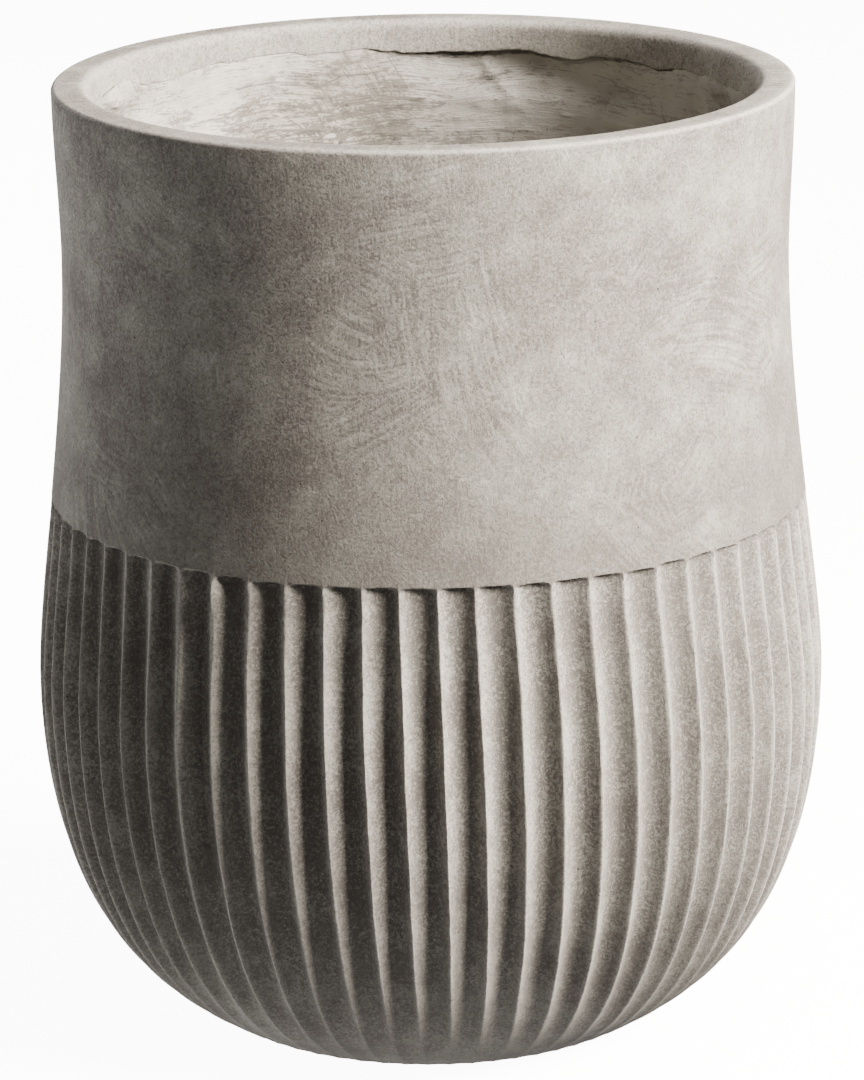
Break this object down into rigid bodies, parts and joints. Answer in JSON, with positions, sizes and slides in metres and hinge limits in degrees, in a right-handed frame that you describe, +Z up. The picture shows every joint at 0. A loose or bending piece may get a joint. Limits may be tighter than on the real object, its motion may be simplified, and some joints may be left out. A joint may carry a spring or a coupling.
{
  "type": "flower pot",
  "caption": "Round-bellied cement planter: a smooth upper band and flat rolled rim over a fluted lower half, with a rough inner lining, a drain plug and small foot pads.",
  "frame": {"origin": "on the floor under the pot's centre, in the plane of the foot pads", "axes": "+Z up along the pot's axis, -Y towards the side the picture shows"},
  "size_m": [0.3012, 0.3012, 0.3623],
  "materials": {
    "face_coat": "matte",
    "backing_coat": "matte",
    "plug_rubber": "matte",
    "pad_rubber": "matte"
  },
  "bodies": {
    "pot": {"pot_shell": "face_coat", "inner_lining": "backing_coat", "foot_pad_1": "pad_rubber", "foot_pad_2": "pad_rubber", "foot_pad_3": "pad_rubber", "foot_pad_4": "pad_rubber"},
    "plug": {"drain_plug": "plug_rubber"}
  },
  "joints": [
    {"name": "plug_lift", "type": "slide", "parent": "pot", "child": "plug", "axis": [0, 0, 1], "range_m": [0, 0.36]}
  ]
}
